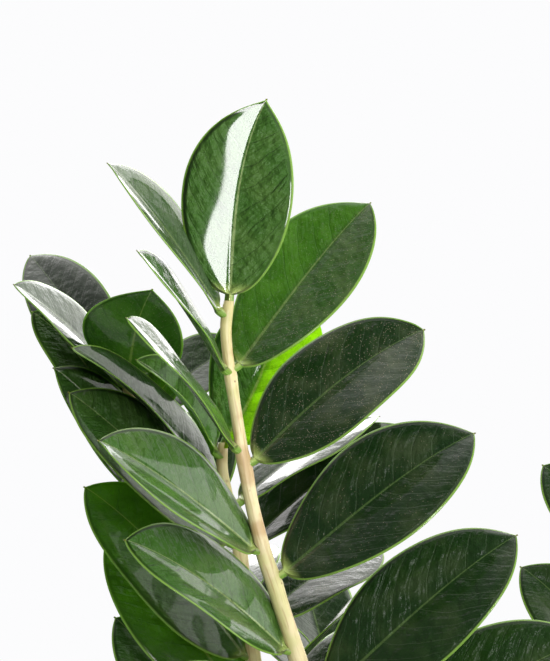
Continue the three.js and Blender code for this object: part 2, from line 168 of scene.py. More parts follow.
PATTERN_FRONDS = {
  "d": {
    "stem": [[48, 18, 0], [52, 24, 90], [55, 38, 200], [60, 52, 300], [76, 62, 400]],
    "faces": [-0.25, -1, 0.3], "first": 168, "last": 384, "pairs": 6, "longest": 84,
  },
  "e": {
    "stem": [[34, -30, 0], [58, -48, 80], [92, -78, 170], [126, -108, 240], [150, -130, 280]],
    "faces": [-0.7, 0.55, 0.7], "first": 92, "last": 268, "pairs": 5, "longest": 80,
  },
  "f": {
    "stem": [[-24, -38, 0], [-50, -62, 70], [-92, -94, 150], [-130, -120, 205], [-156, -136, 232]],
    "faces": [0.7, 0.5, 0.75], "first": 82, "last": 222, "pairs": 4, "longest": 76,
  },
  "g": {
    "stem": [[-12, 48, 0], [-28, 78, 80], [-48, 120, 170], [-62, 156, 236], [-70, 178, 268]],
    "faces": [0.3, -0.75, 0.6], "first": 92, "last": 256, "pairs": 5, "longest": 80,
  },
  "h": {
    "stem": [[28, 44, 0], [50, 70, 90], [84, 104, 190], [112, 132, 270], [130, 150, 312]],
    "faces": [-0.6, -0.65, 0.6], "first": 110, "last": 298, "pairs": 5, "longest": 82,
  },
  "i": {
    "stem": [[8, -52, 0], [16, -80, 60], [28, -116, 128], [38, -144, 172], [44, -160, 194]],
    "faces": [-0.15, 0.8, 0.7], "first": 66, "last": 184, "pairs": 4, "longest": 72,
  },
  "j": {
    "stem": [[10, 6, 0], [18, 10, 70], [26, 14, 140], [30, 18, 206]],
    "faces": [-0.4, -1, 0.3], "first": 96, "last": 194, "pairs": 3, "longest": 70,
  },
  "k": {
    "stem": [[-42, -17, 0], [-76, -31, 60], [-116, -48, 112], [-146, -60, 142]],
    "faces": [0.75, 0.2, 0.8], "first": 58, "last": 132, "pairs": 3, "longest": 66,
  },
  "l": {
    "stem": [[45, -6, 0], [77, -10, 70], [118, -14, 138], [146, -16, 178]],
    "faces": [-0.75, 0.1, 0.8], "first": 70, "last": 166, "pairs": 4, "longest": 72,
  },
}

# Each drawn leaflet's look: (tone, thinness, dust, side), the first three from 0 to 1. Tone runs
# from dark to bright. It is partly the leaflet's age, from old and dark to young and bright, and
# partly painted light and shade: it was set one leaflet at a time to how light or dark each looks
# where it hangs, so leaflets of one age on one frond differ. Thinness is how much light comes
# through. Side is the half that lets more of it through: 1 the left half, -1 the right half, 0 both
# alike.
LOOKS = {
    "a_tip": (0.46, 0.06, 0.25, 0),
    "a_left_1": (0.22, 0.08, 0.35, 0), "a_left_2": (0.45, 0.15, 0.25, 0),
    "a_left_3": (0.40, 0.10, 0.35, 0), "a_left_4": (0.46, 0.18, 0.35, 1),
    "a_left_5": (0.44, 0.15, 0.40, 1), "a_right_1": (0.24, 0.55, 1.00, 1),
    "a_right_2": (0.03, 0.04, 1.00, 0), "a_right_3": (0.02, 0.03, 0.55, 0),
    "a_right_4": (0.04, 0.04, 0.40, 0), "b_tip": (0.78, 1.00, 0.10, -1),
    "b_left_1": (0.75, 0.45, 0.20, 0), "b_left_2": (0.16, 0.12, 0.25, 0),
    "b_left_3": (0.30, 0.08, 0.30, 0), "b_left_4": (0.34, 0.45, 0.15, 0),
    "b_left_5": (0.34, 0.50, 0.15, 0), "b_left_6": (0.28, 0.20, 0.30, 0),
    "b_right_1": (0.10, 0.10, 0.30, 0), "b_right_2": (0.06, 0.05, 0.40, 0),
    "b_right_3": (0.04, 0.04, 0.90, 0), "b_right_4": (0.40, 0.20, 0.20, 0),
    "c_tip": (0.30, 0.30, 0.90, 0),
    "c_left_1": (0.02, 0.05, 0.50, 0), "c_left_2": (0.12, 0.08, 0.30, 0),
    "c_left_3": (0.44, 0.15, 0.30, 0), "c_left_4": (0.36, 0.15, 0.30, 0),
    "c_right_1": (0.10, 0.10, 0.20, 0), "c_right_2": (0.40, 0.50, 0.20, 0),
}
COMMON_LOOK = (0.08, 0.08, 0.40, 0)
FROND_LOOKS = {
    "d": (0.08, 0.07, 0.40), "e": (0.12, 0.10, 0.30), "f": (0.18, 0.12, 0.30),
    "g": (0.08, 0.08, 0.40), "h": (0.10, 0.10, 0.35), "i": (0.28, 0.18, 0.20),
    "j": (0.40, 0.28, 0.15), "k": (0.34, 0.22, 0.15), "l": (0.26, 0.18, 0.20),
}
# How green each stem is: 0 is cream and straw, 1 is olive.
STEM_GREENNESS = {
    "a": 0.06, "b": 0.40, "c": 0.75, "d": 0.45, "e": 0.35, "f": 0.30,
    "g": 0.60, "h": 0.50, "i": 0.55, "j": 0.80, "k": 0.70, "l": 0.60,
}

# The leaflets of a frond that is set out by rule: shares of its longest leaflet, and degrees.
LEAFLET_ANGLE = 48.0
LEAFLET_DIP = 12.0
LEAFLET_ASPECT = 0.5
LOWEST_LENGTH = 0.84
MIDDLE_SWELL = 0.5
TOP_LOSS = 0.12
TIP_LEAFLET = {"length": 0.9, "width": 0.46, "tilt": 80, "arch": 3}
UP = np.array([0.0, 0.0, 1.0])
FRONT = np.array([0.0, -1.0, 0.0])


def unit(vector):
    return vector / np.linalg.norm(vector)


def smooth(low, high, value):
    """0 below low, 1 above high and an even rise between them."""
    t = np.clip((value - low) / (high - low), 0.0, 1.0)
    return t * t * (3 - 2 * t)


# ------------------------------------------------------------------------------------------
# Stems' courses
# ------------------------------------------------------------------------------------------
class Course:
    """A stem's middle line: a centripetal curve through its points, by share of its length."""

    STEPS = 200
    NUDGE = 1e-4

    def __init__(self, points):
        drawn = [np.array(point, float) for point in points]
        foot = drawn[0] + unit(drawn[0] - drawn[1]) * STEM_DEPTH
        self.points = [foot] + drawn
        line = np.array([self.at(step / self.STEPS) for step in range(self.STEPS + 1)])
        self.run = np.concatenate([[0], np.cumsum(np.linalg.norm(np.diff(line, axis=0), axis=1))])
        self.length = self.run[-1]
        self.heights = line[:, 2]

    def at(self, t):
        points = self.points
        last = len(points) - 1
        whole = min(int(t * last), last - 1)
        weight = t * last - whole
        b, c = points[whole], points[whole + 1]
        a = points[whole - 1] if whole > 0 else 2 * points[0] - points[1]
        d = points[whole + 2] if whole + 2 <= last else 2 * points[last] - points[last - 1]
        ab, bc, cd = (math.sqrt(np.linalg.norm(q - p)) for p, q in ((a, b), (b, c), (c, d)))
        start = ((b - a) / ab - (c - a) / (ab + bc) + (c - b) / bc) * bc
        end = ((c - b) / bc - (d - b) / (bc + cd) + (d - c) / cd) * bc
        square = 3 * (c - b) - 2 * start - end
        cube = 2 * (b - c) + start + end
        return b + weight * (start + weight * (square + weight * cube))

    def time(self, share):
        return float(np.interp(share * self.length, self.run, np.linspace(0, 1, self.STEPS + 1)))

    def point(self, share):
        return self.at(self.time(share))

    def along(self, share):
        t = self.time(share)
        return unit(self.at(min(1.0, t + self.NUDGE)) - self.at(max(0.0, t - self.NUDGE)))

    def share_at_height(self, height):
        return float(np.interp(height, self.heights, self.run)) / self.length


def stem_radius(share):
    return STEM_TIP_RADIUS + (STEM_FOOT_RADIUS - STEM_TIP_RADIUS) * (1 - share) ** STEM_TAPER


# ------------------------------------------------------------------------------------------
# Modelling helpers
# ------------------------------------------------------------------------------------------
def deselect():
    bpy.ops.object.select_all(action="DESELECT")


def only(piece):
    """Makes a piece the one that is selected and active."""
    deselect()
    piece.select_set(True)
    bpy.context.view_layer.objects.active = piece


def select_edges(piece, chosen):
    """In edit mode: selects the edges for which chosen(first end, second end) holds."""
    bpy.ops.mesh.select_mode(type="EDGE")
    bpy.ops.mesh.select_all(action="DESELECT")
    sheet = bmesh.from_edit_mesh(piece.data)
    for edge in sheet.edges:
        edge.select_set(chosen(edge.verts[0].co, edge.verts[1].co))
    bmesh.update_edit_mesh(piece.data)


def select_faces(piece, chosen):
    """In edit mode: selects the faces for which chosen(middle, normal) holds."""
    bpy.ops.mesh.select_mode(type="FACE")
    bpy.ops.mesh.select_all(action="DESELECT")
    sheet = bmesh.from_edit_mesh(piece.data)
    for face in sheet.faces:
        face.select_set(chosen(face.calc_center_median(), face.normal))
    bmesh.update_edit_mesh(piece.data)


def apply_modifier(piece, kind, **settings):
    modifier = piece.modifiers.new(kind, kind)
    for name, value in settings.items():
        setattr(modifier, name, value)
    only(piece)
    bpy.ops.object.modifier_apply(modifier=modifier.name)


def copy_with_places(master, name, places, attributes, materials):
    """A copy of a master with its own mesh: its vertices' places in mm, and their attributes."""
    mesh = master.data.copy()
    mesh.name = name
    piece = bpy.data.objects.new(name, mesh)
    bpy.context.collection.objects.link(piece)
    mesh.vertices.foreach_set("co", (places * MM).astype(np.float32).ravel())
    for key, values in attributes.items():
        kind = "FLOAT" if values.ndim == 1 else "FLOAT_VECTOR"
        layer = mesh.attributes.new(key, kind, "POINT")
        layer.data.foreach_set("value" if kind == "FLOAT" else "vector",
                               values.astype(np.float32).ravel())
    mesh.materials.clear()
    for material in materials:
        mesh.materials.append(material)
    mesh.update()
    return piece


def read_places(piece):
    flat = np.empty(len(piece.data.vertices) * 3, np.float32)
    piece.data.vertices.foreach_get("co", flat)
    return flat.reshape(-1, 3).astype(float)


# ------------------------------------------------------------------------------------------
# The leaflet: one flat master, modelled once, that each leaflet bends in its own way
# ------------------------------------------------------------------------------------------
STALK_SHARE = 0.08


def model_leaflet_master(name, rows, columns):
    """A flat closed sheet: x 0 to 1 along, y -1 to 1 across, and z 1 above, 0 at the rim."""
    deselect()
    bpy.ops.mesh.primitive_grid_add(x_subdivisions=rows, y_subdivisions=columns, size=2)
    master = bpy.context.object
    master.name = name
    bpy.ops.object.mode_set(mode="EDIT")
    bpy.ops.transform.translate(value=(1, 0, 0))
    bpy.ops.transform.resize(value=(0.5, 1, 1), center_override=(0, 0, 0))
    bpy.ops.object.mode_set(mode="OBJECT")
    apply_modifier(master, "SOLIDIFY", thickness=2.0, offset=0.0, use_even_offset=False)
    bpy.ops.object.mode_set(mode="EDIT")
    select_edges(master, lambda a, b: abs(a.z - b.z) > 1.0)
    bpy.ops.mesh.subdivide(number_cuts=1)
    bpy.ops.mesh.select_all(action="SELECT")
    bpy.ops.mesh.normals_make_consistent(inside=False)
    bpy.ops.object.mode_set(mode="OBJECT")
    bpy.ops.object.shade_smooth()
    for face in master.data.polygons:
        face.material_index = 1 if face.normal.z < 0.5 else 0
    return master


def blade_half_width(p, pointed):
    """Half of the blade's width as a share of its widest: full shoulders and a drawn-out tip.

    pointed: 0 for a blade with a short point on full shoulders, 1 for a more tapered one.
    """
    x = np.where(p > BLADE_WIDEST, (p - BLADE_WIDEST) / (0.992 - BLADE_WIDEST),
                 (BLADE_WIDEST - p) / BLADE_WIDEST)
    towards_tip = 0.58 + 0.20 * x ** 4 + 0.20 * pointed
    towards_foot = 0.66 - 0.10 * x ** 4 - 0.10 * pointed
    power = np.where(p > BLADE_WIDEST, towards_tip, towards_foot)
    return np.clip(1 - x * x, 0, 1) ** power


def leaflet(master, name, seat, outward, leaf, faces, look, materials):
    """Bends a copy of the master along one leaflet's arched midrib."""
    flat = read_places(master)
    u, v, w = flat[:, 0], np.clip(flat[:, 1], -1, 1), np.clip(flat[:, 2], -1, 1)
    reach = np.array(leaf["reach"], float)
    along = unit(reach)
    tilt = math.radians(leaf["tilt"])
    outlook = faces * math.sin(tilt) + UP * math.cos(tilt)
    upper = unit(outlook - along * outlook.dot(along))
    left = np.cross(upper, along)
    middle = reach / 2 + upper * 2 * leaf.get("arch", 0) - left * 2 * leaf.get("sweep", 0)
    length = np.linalg.norm(reach)
    stalk = STALK_LENGTH / length
    own = chance.uniform(-1, 1, 8)

    # Rows: a few on the stalk, the rest on the blade and closer at both of its ends.
    q = np.clip((u - STALK_SHARE) / (1 - STALK_SHARE), 0, 1)
    p = 0.22 * q + 0.78 * (0.5 - 0.5 * np.cos(math.pi * q))
    on_stalk = u < STALK_SHARE
    share = np.where(on_stalk, stalk * u / STALK_SHARE, stalk + (1 - stalk) * p)
    p = np.where(on_stalk, 0.0, p)

    # The midrib's line; its first stretch leaves the stem square to it.
    s = share[:, None]
    centre = 2 * s * (1 - s) * middle + s * s * reach
    tangent = 2 * (1 - s) * middle + 2 * s * (reach - middle)
    tangent /= np.linalg.norm(tangent, axis=1)[:, None]
    hook = leaf.get("hook", 1.8 + 0.7 * own[7]) * np.sign(left[2])
    centre = centre + left * (hook * 6.75 * share ** 2 * (1 - share))[:, None]
    sink = np.exp(-((share / (0.6 * stalk)) ** 2))[:, None]
    centre = centre - outward * (2.0 * sink)
    normal = upper - tangent * (tangent @ upper)[:, None]
    normal /= np.linalg.norm(normal, axis=1)[:, None]
    side = np.cross(normal, tangent)

    # Across: from a round stalk to a thin blade with a keel below and a groove above.
    half = leaf["width"] / 2
    stalk_radius = STALK_RADIUS * (1 + 0.12 * np.exp(-((share / (0.5 * stalk)) ** 2)))
    stalk_radius = stalk_radius * (1 - 0.55 * smooth(0.0, 0.5, p))
    lopsided = 1 + 0.035 * own[0] * np.sign(v)
    width = half * blade_half_width(p, 0.0 if "at" in leaf else 1.0)
    width = width * lopsided * (1 + 0.012 * np.sin(9 * p + 6 * own[1]))
    width = np.where(on_stalk, 0.0, width)
    tip = smooth(0.97, 1.0, p)
    width = np.maximum(width, stalk_radius * (1 - tip) * (1 - smooth(0.1, 0.5, p)))
    width = np.maximum(width, TIP_HALF_WIDTH)
    roundness = np.where(p < 0.5, 1 - smooth(0.0, 3.5, width - stalk_radius), 0.0)
    y = width * (roundness * np.sin(math.pi * v / 2) + (1 - roundness) * v)
    y = y + np.where(np.abs(w) < 0.5, 0.16 * np.sign(v) * (1 - roundness), 0.0)
    across = np.abs(y)
    edge = np.clip(width - across, 0, None)

    fold = math.tan(math.radians(leaf.get("fold", 10)))
    a = np.abs(v)
    crease = np.sqrt(a * a + 0.0016) - 0.04
    lift = width * fold * (1.15 * crease - 0.2 * a ** 3) * (1 - roundness)
    wave = np.sin(2 * math.pi * (1.3 + 0.3 * own[2]) * p + 3 * own[3] + 1.4 * np.sign(v))
    lift = lift + (0.75 + 0.3 * own[4]) * wave * a * a * smooth(0.0, 0.2, p) * (1 - tip)
    lift = lift - 0.25 * smooth(0.45, 1.0, a) * np.sin(math.pi * p) * (1 - tip) * (v * hook > 0)
    lift = lift + 0.5 * own[5] * np.sin(math.pi * p) * (1 - a * a) * (1 - roundness)

    thick = MARGIN_THICKNESS + (BLADE_THICKNESS - MARGIN_THICKNESS) * smooth(0.0, 5.0, edge)
    thick = thick * (1 - 0.35 * tip)
    keel = KEEL_DEPTH * (1 - smooth(0.0, 0.82, p)) * np.exp(-((y / 1.5) ** 2))
    groove = GROOVE_DEPTH * (1 - smooth(0.6, 0.95, p)) * np.exp(-((y / 0.8) ** 2))
    barrel = stalk_radius * np.cos(math.pi * v / 2)
    above = roundness * barrel + (1 - roundness) * (thick / 2 - groove)
    below = roundness * barrel + (1 - roundness) * (thick / 2 + keel)
    depth = np.where(w > 0.5, above, np.where(w < -0.5, -below, 0.0))

    places = seat + centre + side * y[:, None] + normal * (lift + depth)[:, None]
    places[:, 2] += SOIL_LEVEL
    distance = share * length - stalk * length
    tone, thin, dust, half_side = look
    one_half = smooth(-0.12, 0.12, v * half_side)
    thin = thin * (1 - 0.72 * abs(half_side) * (1 - one_half))
    attributes = {
        "place": np.stack([distance, y, edge], axis=1),
        "share": p,
        "look": np.stack([np.full(len(u), tone), thin, np.full(len(u), dust)], axis=1),
        "own": np.full(len(u), 50 * (own[6] + 1)),
    }
    return copy_with_places(master, name, places, attributes, materials)


def seat_on_stem(course, leaf):
    """Where a leaflet's stalk meets the stem's skin, and the way out of the stem there."""
    if "at" not in leaf:
        along = course.along(1.0)
        return course.point(1.0), along, 1.0
    share = course.share_at_height(leaf["at"])
    along = course.along(share)
    reach = np.array(leaf["reach"], float)
    outward = unit(reach - along * reach.dot(along))
    return course.point(share) + outward * stem_radius(share), outward, share


def leaflets_by_rule(frond, course):
    """Pairs of leaflets that grow longer, then shorter, and one at the tip."""
    faces = unit(np.array(frond["faces"], float))
    angle = math.radians(LEAFLET_ANGLE)
    dip = math.radians(LEAFLET_DIP)
    spacing = (frond["last"] - frond["first"]) / (frond["pairs"] - 0.5)
    leaflets = []
    for index in range(2 * frond["pairs"]):
        hand = 1 if index % 2 == 0 else -1
        at = frond["first"] + index * spacing / 2
        share = index / (2 * frond["pairs"] - 1)
        along = course.along(course.share_at_height(at))
        side = unit(np.cross(along, faces)) * hand
        swell = MIDDLE_SWELL * share * (1 - share)
        length = frond["longest"] * (LOWEST_LENGTH + swell - TOP_LOSS * share)
        reach = side * math.cos(angle) + along * math.sin(angle) + faces * math.sin(dip)
        leaflets.append({"at": at, "reach": reach * length, "width": length * LEAFLET_ASPECT,
                         "tilt": 45, "arch": 5})
    tip = dict(TIP_LEAFLET)
    tip["reach"] = course.along(1.0) * frond["longest"] * TIP_LEAFLET["length"]
    tip["width"] = frond["longest"] * TIP_LEAFLET["width"]
    leaflets.append(tip)
    return leaflets


# ------------------------------------------------------------------------------------------
# The stem: one round master that each stem follows, swollen under its leaflets
# ------------------------------------------------------------------------------------------
def model_stem_master():
    """A closed round bar of radius 1, z 0 to 1, with a ring at every step of its length."""
    deselect()
    bpy.ops.mesh.primitive_cylinder_add(vertices=STEM_SIDES, radius=1, depth=1,
                                        end_fill_type="TRIFAN", location=(0, 0, 0.5))
    master = bpy.context.object
    master.name = "stem_master"
    bpy.ops.object.transform_apply(location=True)
    bpy.ops.object.mode_set(mode="EDIT")
    select_edges(master, lambda a, b: abs(a.z - b.z) > 0.5)
    bpy.ops.mesh.subdivide(number_cuts=STEM_RINGS)
    bpy.ops.object.mode_set(mode="OBJECT")
    bpy.ops.object.shade_smooth()
    return master


def stem(master, name, course, seats, greenness, material):
    """Runs a copy of the round bar along a course; each seat swells the side it is on."""
    flat = read_places(master)
    radial = np.hypot(flat[:, 0], flat[:, 1])
    angle = np.arctan2(flat[:, 1], flat[:, 0])
    share = np.clip(flat[:, 2], 0, 1)
    rings = np.unique(np.round(share, 6))
    centres = np.array([course.point(ring) for ring in rings])
    alongs = np.array([course.along(ring) for ring in rings])
    which = np.searchsorted(rings, np.round(share, 6) - 1e-7)
    centre, along = centres[which], alongs[which]
    right = np.array([1.0, 0, 0]) - along * along[:, :1]
    right /= np.linalg.norm(right, axis=1)[:, None]
    over = np.cross(along, right)
    direction = right * np.cos(angle)[:, None] + over * np.sin(angle)[:, None]
    distance = share * course.length
    radius = stem_radius(share)
    own = chance.uniform(0, 6.28, 4)
    radius = radius * (1 + 0.025 * np.sin(3 * angle + own[0]) * (1 - share))
    radius = radius * (1 + 0.018 * np.sin(distance / 17 + own[1]) * np.sin(2 * angle + own[2]))
    scar = np.zeros(len(share))
    for seat_share, outward in seats:
        gap = distance - seat_share * course.length
        toward = np.clip(direction @ outward, 0, 1)
        ledge = np.where(gap > 0, np.exp(-((gap / 2.2) ** 2)), np.exp(-((gap / 7.5) ** 2)))
        radius = radius + SWELLING * ledge * toward ** 2
        ring = np.exp(-((gap - 1.5) / 0.8) ** 2) * (0.35 + 0.65 * toward)
        scar = np.maximum(scar, ring)
    radius = radius + SCAR_RIDGE * scar
    foot = np.exp(-((distance - STEM_DEPTH) / 16) ** 2)
    radius = radius * (1 + 0.10 * foot)
    places = centre + direction * (radius * radial)[:, None]
    places[:, 2] += SOIL_LEVEL
    attributes = {
        "place": np.stack([distance, radius * np.cos(angle), radius * np.sin(angle)], axis=1),
        "share": share,
        "look": np.stack([np.full(len(share), greenness), scar, foot], axis=1),
    }
    return copy_with_places(master, name, places, attributes, [material])


# ------------------------------------------------------------------------------------------
# Camera, light and floor
# ------------------------------------------------------------------------------------------
def set_camera():
    """A long lens at the height of the upper leaflets, level and square to the front."""
    lens = bpy.data.cameras.new("camera")
    lens.sensor_width = 36.0
    lens.lens = 191.4
    lens.clip_start = 0.05
    lens.clip_end = 50
    camera = bpy.data.objects.new("camera", lens)
    camera.location = (-0.094, -1.350, 0.554)
    camera.rotation_euler = (math.pi / 2, 0, 0)
    bpy.context.collection.objects.link(camera)
    bpy.context.scene.camera = camera


def add_softbox(name, place, aim, width, height, power):
    """A square-cornered lamp panel, in metres and watts, that the camera doesn't see."""
    lamp = bpy.data.lights.new(name, "AREA")
    lamp.shape = "RECTANGLE"
    lamp.size = width
    lamp.size_y = height
    lamp.energy = power
    box = bpy.data.objects.new(name, lamp)
    box.location = place
    box.rotation_euler = (Vector(aim) - Vector(place)).to_track_quat("-Z", "Y").to_euler()
    box.visible_camera = False
    bpy.context.collection.objects.link(box)


SMOOTH = {"interpolation_type": "SMOOTHSTEP"}
COLOURS = {"data_type": "RGBA"}


def add(tree, kind, inputs=None, out=None, **settings):
    """Adds a node with its settings and links, and gives back it or the output asked for.

    An input is a number, a place, a hex colour or another node's output.
    """
    node = tree.nodes.new("ShaderNode" + kind)
    for name, value in settings.items():
        setattr(node, name, value)
    for name, value in (inputs or {}).items():
        if isinstance(value, bpy.types.NodeSocket):
            tree.links.new(value, node.inputs[name])
        else:
            held = colour(value) if isinstance(value, str) else value
            node.inputs[name].default_value = held
    return node if out is None else node.outputs[out]


def colour(code):
    """An sRGB hex colour as linear values."""
    parts = [int(code[i:i + 2], 16) / 255 for i in (1, 3, 5)]
    linear = [c / 12.92 if c <= 0.04045 else ((c + 0.055) / 1.055) ** 2.4 for c in parts]
    return (*linear, 1.0)


def light_the_studio():
    """A white surround that is seen but casts no light, and what the plant is lit by.

    The plant is lit by a dim room in front, a bright sweep behind and above, a window's glow
    at the right, a tall key softbox in front and a wide one behind.
    """
    world = bpy.data.worlds.new("studio")
    bpy.context.scene.world = world
    world.use_nodes = True
    tree = world.node_tree
    tree.nodes.clear()
    way = add(tree, "TexCoord", None, "Generated")
    right, back, up = add(tree, "SeparateXYZ", {0: way}).outputs
    rising = add(tree, "Math", {0: up, 1: 0.75}, 0, operation="MULTIPLY")
    rising = add(tree, "Math", {0: back, 1: 0.66, 2: rising}, 0, operation="MULTIPLY_ADD")
    glare = add(tree, "MapRange", {0: back, 1: -0.6, 2: 0.6, 3: 0.12, 4: 0.45}, 0, **SMOOTH)
    for facing, start, full, strength in ((rising, 0.35, 0.95, 2.3), (right, 0.5, 0.78, 2.9)):
        more = add(tree, "MapRange", {0: facing, 1: start, 2: full, 4: strength}, 0, **SMOOTH)
        glare = add(tree, "Math", {0: glare, 1: more}, 0, operation="ADD")
    light = add(tree, "Background", {"Color": "#fffcfb", "Strength": glare}, 0)
    wall = add(tree, "Background", {"Color": "#fcfcfd"}, 0)
    seen = add(tree, "LightPath", None, "Is Camera Ray")
    both = add(tree, "MixShader", {0: seen, 1: light, 2: wall}, 0)
    add(tree, "OutputWorld", {"Surface": both})
    add_softbox("key", (0.25, -1.05, 0.70), (-0.10, -0.05, 0.58), 0.20, 0.50, 8.5)
    add_softbox("back", (-0.10, 1.50, 1.30), (-0.05, 0.0, 0.50), 1.4, 0.8, 18.0)
    view = bpy.context.scene.view_settings
    view.view_transform = "Standard"
    view.look = "None"


def lay_the_floor():
    """A round matt floor, a hair below the pot's foot and grey enough not to glare."""
    deselect()
    bpy.ops.mesh.primitive_circle_add(vertices=96, radius=3.6, fill_type="TRIFAN",
                                      location=(0, 0, -0.0004))
    floor = bpy.context.object
    floor.name = "floor"
    bpy.ops.object.transform_apply(location=True)
    paint = bpy.data.materials.new("matt_white_floor")
    paint.use_nodes = True
    finish = paint.node_tree.nodes["Principled BSDF"]
    finish.inputs["Base Color"].default_value = colour("#a9a9a7")
    finish.inputs["Roughness"].default_value = 0.75
    floor.data.materials.append(paint)


# ------------------------------------------------------------------------------------------
# Finishes
# ------------------------------------------------------------------------------------------
def new_material(name):
    material = bpy.data.materials.new(name)
    material.use_nodes = True
    material.node_tree.nodes.clear()
    return material, material.node_tree


def leaf_material(name, upper):
    """Cuticle of a ZZ leaflet.

    Above it is thick and waxed: hard bright highlights that the leathery grain breaks up, a
    pale sunken midrib and faint arching veins. Below it is paler, softer and barely shiny.
    Both have a thin lime margin where the light comes through. Its lime colour is partly the
    margin's own paler green and partly a painted glow of that light.
    """
    material, tree = new_material(name)
    place, look = (add(tree, "Attribute", None, "Vector", attribute_name=attribute)
                   for attribute in ("place", "look"))
    share, own = (add(tree, "Attribute", None, "Fac", attribute_name=attribute)
                  for attribute in ("share", "own"))
    along, across, edge = add(tree, "SeparateXYZ", {0: place}).outputs
    tone, thin, dust = add(tree, "SeparateXYZ", {0: look}).outputs
    off_midrib = add(tree, "Math", {0: across}, 0, operation="ABSOLUTE")

    # Leathery grain in mm, shifted so that no two leaflets share it: 6 mm waves, 2.5 mm grain,
    # pebbles under 1 mm, 14 mm patches and a 4 mm crinkle.
    spot = add(tree, "CombineXYZ", {0: along, 1: across, 2: own}, 0)
    waves, grain, pebble, patches = (
        add(tree, "TexNoise", {"Scale": scale, "Detail": detail, "Vector": spot}, "Fac")
        for scale, detail in ((0.16, 1.0), (0.4, 2.0), (1.3, 1.0), (0.07, 2.0)))
    crinkle = add(tree, "TexVoronoi", {"Scale": 0.26, "Smoothness": 0.6, "Vector": spot},
                  "Distance", feature="SMOOTH_F1")

    # Side veins: about six a side, leaving the midrib and arching to the tip.
    left = add(tree, "Math", {0: across, 1: 0.0}, 0, operation="GREATER_THAN")
    bowed = add(tree, "Math", {0: off_midrib, 1: 0.028, 2: 0.62}, 0, operation="MULTIPLY_ADD")
    back = add(tree, "Math", {0: off_midrib, 1: bowed}, 0, operation="MULTIPLY")
    reach = add(tree, "Math", {0: along, 1: back}, 0, operation="SUBTRACT")
    wander = add(tree, "Math", {0: patches, 1: 5.0, 2: reach}, 0, operation="MULTIPLY_ADD")
    row = add(tree, "Math", {0: left, 1: 4.1, 2: wander}, 0, operation="MULTIPLY_ADD")
    row = add(tree, "Math", {0: row, 1: VEIN_SPACING}, 0, operation="DIVIDE")
    phase = add(tree, "Math", {0: row}, 0, operation="FRACT")
    from_middle = add(tree, "Math", {0: phase, 1: 0.5}, 0, operation="SUBTRACT")
    from_vein = add(tree, "Math", {0: from_middle}, 0, operation="ABSOLUTE")
    fading = add(tree, "MapRange", {0: edge, 1: 0.5, 2: 4.0}, 0, **SMOOTH)
    vein = add(tree, "MapRange", {0: from_vein, 1: 0.04, 2: 0.0}, 0, **SMOOTH)
    vein = add(tree, "Math", {0: vein, 1: fading}, 0, operation="MULTIPLY")

    # Creases that run with the side veins, one every 2 mm or so.
    forward = add(tree, "Math", {0: wander, 1: 0.5}, 0, operation="MULTIPLY")
    sideways = add(tree, "Math", {0: across, 1: 0.11}, 0, operation="MULTIPLY")
    crease_at = add(tree, "CombineXYZ", {0: forward, 1: sideways, 2: own}, 0)
    creases = add(tree, "TexNoise", {"Scale": 1.0, "Detail": 2.5, "Vector": crease_at}, "Fac")

    # Where the midrib, the margin, the stalk and the pointed tip are
    rib_width = add(tree, "MapRange", {0: share, 2: 0.95, 3: 0.8, 4: 0.25}, 0, **SMOOTH)
    rib = add(tree, "Math", {0: off_midrib, 1: rib_width}, 0, operation="DIVIDE")
    rib = add(tree, "MapRange", {0: rib, 1: 1.0, 2: 0.45}, 0, **SMOOTH)
    rim = add(tree, "MapRange", {0: edge, 1: 0.95, 2: 0.25}, 0, **SMOOTH)
    stalk = add(tree, "MapRange", {0: along, 1: 5.0, 2: -0.5}, 0, **SMOOTH)
    mucro = add(tree, "MapRange", {0: share, 1: 0.985, 2: 0.997}, 0, **SMOOTH)

    # Dust: a thin grey film in drifts, and specks a third of a millimetre across, which is
    # coarser than most real ones, so that they show.
    film = add(tree, "MapRange", {0: patches, 1: 0.42, 2: 0.75}, 0, **SMOOTH)
    drift = add(tree, "Math", {0: dust, 1: film}, 0, operation="MULTIPLY")
    grit = add(tree, "TexVoronoi", {"Scale": 1.5, "Vector": spot}, feature="F1")
    pick = add(tree, "SeparateColor", {0: grit.outputs["Color"]}, 0)
    few = add(tree, "Math", {0: pick, 1: dust}, 0, operation="MULTIPLY")
    few = add(tree, "MapRange", {0: few, 1: 0.38, 2: 0.6}, 0, **SMOOTH)
    speck = add(tree, "MapRange", {0: grit.outputs["Distance"], 1: 0.26, 2: 0.12}, 0, **SMOOTH)
    speck = add(tree, "Math", {0: speck, 1: few}, 0, operation="MULTIPLY")

    # Colour, each pair from tone's dark end to its bright end: an old leaflet's to a young one's,
    # and in part painted shade to painted light
    body_hues = ("#0c240a", "#528630") if upper else ("#33502a", "#6fae3f")
    patch_hues = ("#17330e", "#6f9a42") if upper else ("#5c7c46", "#5c7c46")
    rib_hues = ("#3f5a2a", "#b9d08a") if upper else ("#93a862", "#b9d27f")
    vein_hue = "#6f9a52" if upper else "#2c4723"
    faint, plain = (0.06, 0.22) if upper else (0.3, 0.3)
    body, patch, midrib = (add(tree, "Mix", {0: tone, 6: old, 7: young}, 2, **COLOURS)
                           for old, young in (body_hues, patch_hues, rib_hues))
    patchy = add(tree, "MapRange", {0: patches, 1: 0.35, 2: 0.7}, 0, **SMOOTH)
    marked = add(tree, "MapRange", {0: tone, 2: 0.6, 3: faint, 4: plain}, 0, **SMOOTH)
    # The lime at the rim is partly the margin's own paler green and partly painted glow of the
    # light that comes through it.
    for where, strength, hue in (
            (patchy, 0.4, patch), (vein, marked, vein_hue), (rib, 0.85, midrib),
            (stalk, 1.0, "#a9bd68"), (rim, 0.9, "#a4d25c"), (drift, 0.14, "#8a8a68"),
            (speck, 0.65, "#b5a890"), (mucro, 1.0, "#7a5a2c")):
        amount = add(tree, "Math", {0: where, 1: strength}, 0, operation="MULTIPLY")
        body = add(tree, "Mix", {0: amount, 6: body, 7: hue}, 2, **COLOURS)

